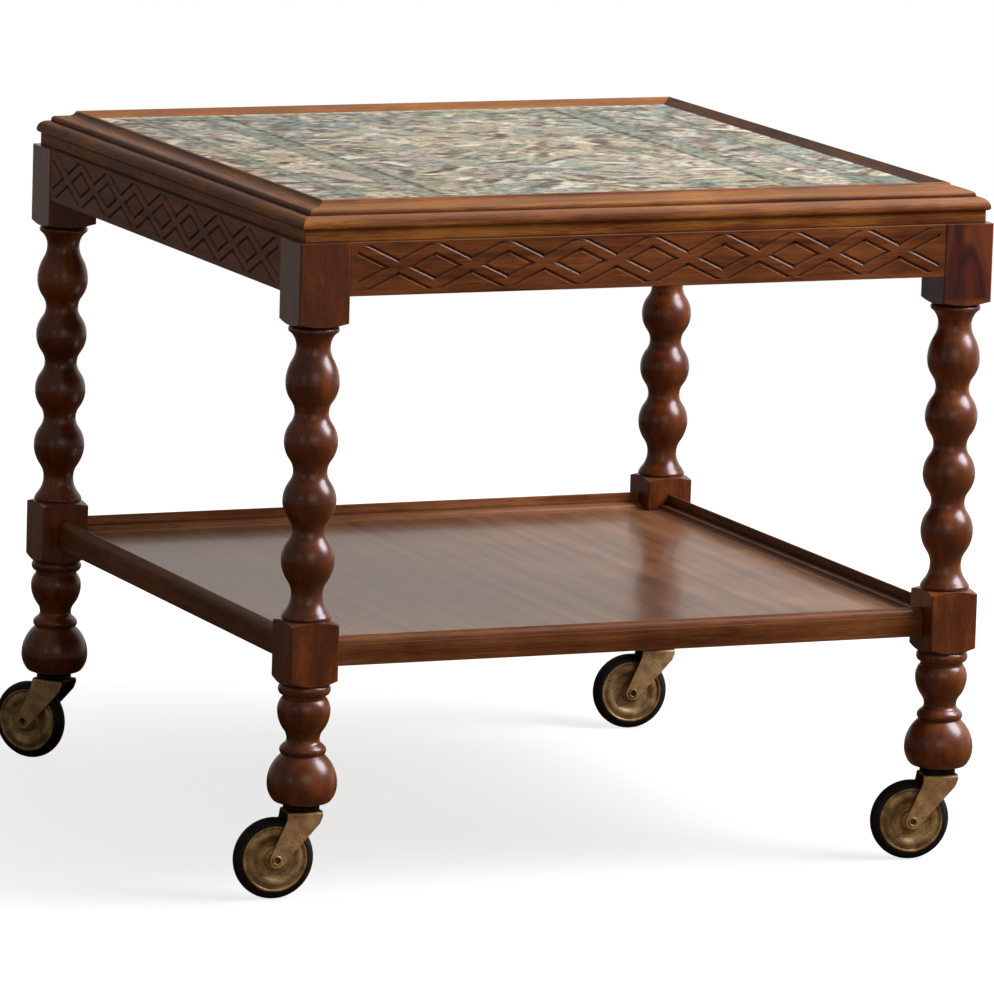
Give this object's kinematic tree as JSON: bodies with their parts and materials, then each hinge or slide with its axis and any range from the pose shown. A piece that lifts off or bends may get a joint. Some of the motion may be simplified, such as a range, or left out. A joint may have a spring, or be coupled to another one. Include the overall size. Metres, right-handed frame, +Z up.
{
  "type": "serving table",
  "caption": "Square serving table with bobbin-turned legs, lattice-carved aprons, a woven cloth panel in its moulded top, a railed lower shelf and swivel castors.",
  "frame": {"origin": "on the floor under the middle of the whole table with its castors as stored", "axes": "+Z up; the front, one of four like sides, faces -Y; +X to the right"},
  "size_m": [0.6612, 0.6504, 0.5726],
  "materials": {
    "leg_wood": "turned hardwood, reddish brown stain, satin polish",
    "apron_wood": "carved hardwood, brown stain, satin polish",
    "frame_wood": "moulded hardwood, orange brown stain, satin polish",
    "rail_wood": "moulded hardwood, dark brown stain, satin polish",
    "shelf_wood": "veneered board, reddish brown stain, half gloss polish",
    "inner_wood": "bare softwood, unfinished",
    "woven_cloth": "ribbed tapestry weave, cream, green, grey blue and rose",
    "brass_plate": "brass-plated pressed steel, dull and speckled with age",
    "plain_steel": "bare turned steel",
    "tyre_rubber": "black moulded rubber, worn matte"
  },
  "bodies": {
    "table": {"leg_front_left": "leg_wood", "leg_front_right": "leg_wood", "leg_back_right": "leg_wood", "leg_back_left": "leg_wood", "apron_front": "apron_wood", "apron_right": "apron_wood", "apron_back": "apron_wood", "apron_left": "apron_wood", "top_frame_front": "frame_wood", "top_frame_right": "frame_wood", "top_frame_back": "frame_wood", "top_frame_left": "frame_wood", "shelf_rail_front": "rail_wood", "shelf_rail_right": "rail_wood", "shelf_rail_back": "rail_wood", "shelf_rail_left": "rail_wood", "top_board": "inner_wood", "woven_panel": "woven_cloth", "shelf_board": "shelf_wood", "fixing_blocks": "inner_wood", "fixing_screws": "plain_steel", "apron_dowels": "inner_wood", "rail_dowels": "inner_wood", "castor_washers": "brass_plate", "castor_socket_front_left": "brass_plate", "castor_socket_front_right": "brass_plate", "castor_socket_back_right": "brass_plate", "castor_socket_back_left": "brass_plate"},
    "fork_front_left": {"castor_fork_front_left": "brass_plate", "castor_stem_front_left": "brass_plate", "castor_axle_front_left": "brass_plate"},
    "wheel_front_left": {"wheel_tyre_front_left": "tyre_rubber", "wheel_face_near_front_left": "brass_plate", "wheel_face_far_front_left": "brass_plate", "wheel_bush_front_left": "plain_steel"},
    "fork_front_right": {"castor_fork_front_right": "brass_plate", "castor_stem_front_right": "brass_plate", "castor_axle_front_right": "brass_plate"},
    "wheel_front_right": {"wheel_tyre_front_right": "tyre_rubber", "wheel_face_near_front_right": "brass_plate", "wheel_face_far_front_right": "brass_plate", "wheel_bush_front_right": "plain_steel"},
    "fork_back_right": {"castor_fork_back_right": "brass_plate", "castor_stem_back_right": "brass_plate", "castor_axle_back_right": "brass_plate"},
    "wheel_back_right": {"wheel_tyre_back_right": "tyre_rubber", "wheel_face_near_back_right": "brass_plate", "wheel_face_far_back_right": "brass_plate", "wheel_bush_back_right": "plain_steel"},
    "fork_back_left": {"castor_fork_back_left": "brass_plate", "castor_stem_back_left": "brass_plate", "castor_axle_back_left": "brass_plate"},
    "wheel_back_left": {"wheel_tyre_back_left": "tyre_rubber", "wheel_face_near_back_left": "brass_plate", "wheel_face_far_back_left": "brass_plate", "wheel_bush_back_left": "plain_steel"}
  },
  "joints": [
    {"name": "swivel_front_left", "type": "hinge", "parent": "table", "child": "fork_front_left", "pos_m": [-0.27423, -0.29643, 0.0736], "axis": [0, 0, 1], "continuous": true},
    {"name": "roll_front_left", "type": "hinge", "parent": "fork_front_left", "child": "wheel_front_left", "pos_m": [-0.29691, -0.29405, 0.0338], "axis": [-0.1045, -0.9945, 0], "continuous": true},
    {"name": "swivel_front_right", "type": "hinge", "parent": "table", "child": "fork_front_right", "pos_m": [0.30177, -0.29643, 0.0736], "axis": [0, 0, 1], "continuous": true},
    {"name": "roll_front_right", "type": "hinge", "parent": "fork_front_right", "child": "wheel_front_right", "pos_m": [0.27938, -0.29208, 0.0338], "axis": [-0.1908, -0.9816, 0], "continuous": true},
    {"name": "swivel_back_right", "type": "hinge", "parent": "table", "child": "fork_back_right", "pos_m": [0.30177, 0.27957, 0.0736], "axis": [0, 0, 1], "continuous": true},
    {"name": "roll_back_right", "type": "hinge", "parent": "fork_back_right", "child": "wheel_back_right", "pos_m": [0.27925, 0.28313, 0.0338], "axis": [-0.1564, -0.9877, 0], "continuous": true},
    {"name": "swivel_back_left", "type": "hinge", "parent": "table", "child": "fork_back_left", "pos_m": [-0.27423, 0.27957, 0.0736], "axis": [0, 0, 1], "continuous": true},
    {"name": "roll_back_left", "type": "hinge", "parent": "fork_back_left", "child": "wheel_back_left", "pos_m": [-0.28858, 0.29729, 0.0338], "axis": [-0.7771, -0.6293, 0], "continuous": true}
  ]
}
